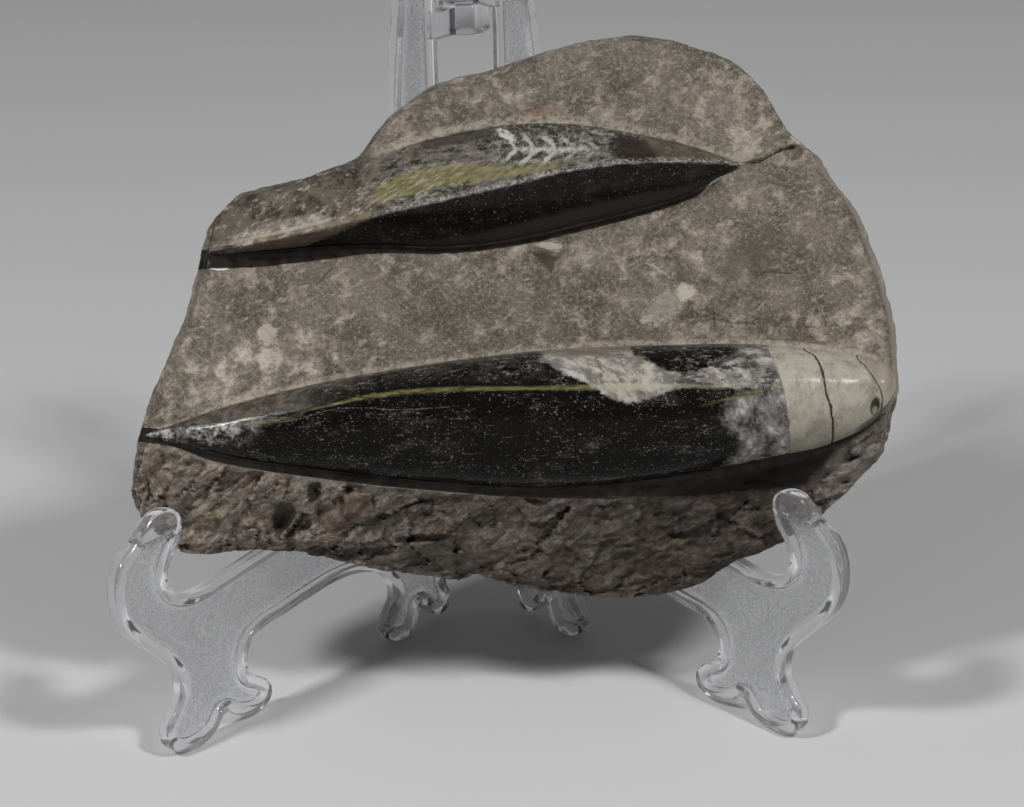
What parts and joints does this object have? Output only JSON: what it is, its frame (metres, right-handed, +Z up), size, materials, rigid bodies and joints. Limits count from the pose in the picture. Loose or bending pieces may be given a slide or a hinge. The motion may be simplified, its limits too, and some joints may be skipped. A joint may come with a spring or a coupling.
{
  "type": "orthoceras fossil slab on a display stand",
  "caption": "Polished straight-shelled nautiloid fossils standing out of a rough limestone slab that leans on a clear folding plate stand.",
  "frame": {"origin": "centre of the bounding box's bottom face, on the ground under the object", "axes": "+X to the object's right as seen from the front, +Y to the back, +Z up; the slab faces -Y and leans back"},
  "size_m": [0.1861, 0.108, 0.177],
  "materials": {
    "limestone": "rough brown-grey limestone, matt, with pale specks",
    "black_calcite": "polished black calcite with pale chambers and a mustard line",
    "veined_calcite": "polished dark calcite with white veins and a mustard lens",
    "clear_plastic": "clear moulded polystyrene, glossy rims, fine-grained web"
  },
  "bodies": {
    "root": {"matrix_slab": "limestone", "large_orthoceras": "black_calcite", "small_orthoceras": "veined_calcite", "stand_left_wing": "clear_plastic", "stand_right_wing": "clear_plastic"}
  },
  "joints": []
}
